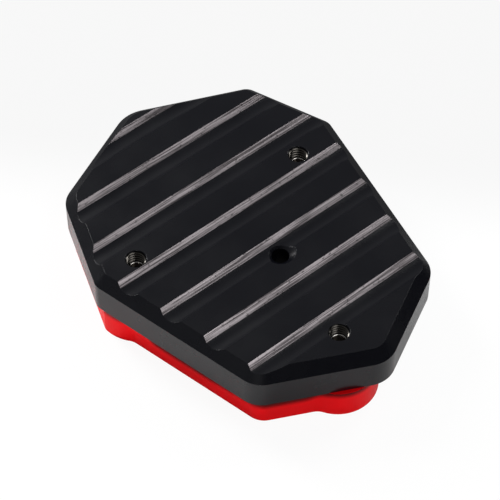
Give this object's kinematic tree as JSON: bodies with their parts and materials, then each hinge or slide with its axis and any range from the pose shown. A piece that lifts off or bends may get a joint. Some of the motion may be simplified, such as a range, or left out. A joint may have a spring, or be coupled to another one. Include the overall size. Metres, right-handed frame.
{
  "type": "kickstand foot enlarger",
  "caption": "Ribbed base plate and clamp plate that close round a side stand's foot, to give it a wider bearing face on soft ground.",
  "frame": {"origin": "middle of the outline's box, on the clamp plate's outer face, which the part lies on", "axes": "+Z out of the ribbed ground face, +X along the strips, +Y towards the blunt rear end"},
  "size_m": [0.0912, 0.117, 0.023],
  "materials": {
    "black_anodised": "black anodised, satin, with bare machined strips",
    "red_anodised": "red anodised, satin",
    "screw_steel": "plain"
  },
  "bodies": {
    "root": {"base_plate": "black_anodised", "clamp_plate": "red_anodised", "screws": "screw_steel"}
  },
  "joints": []
}
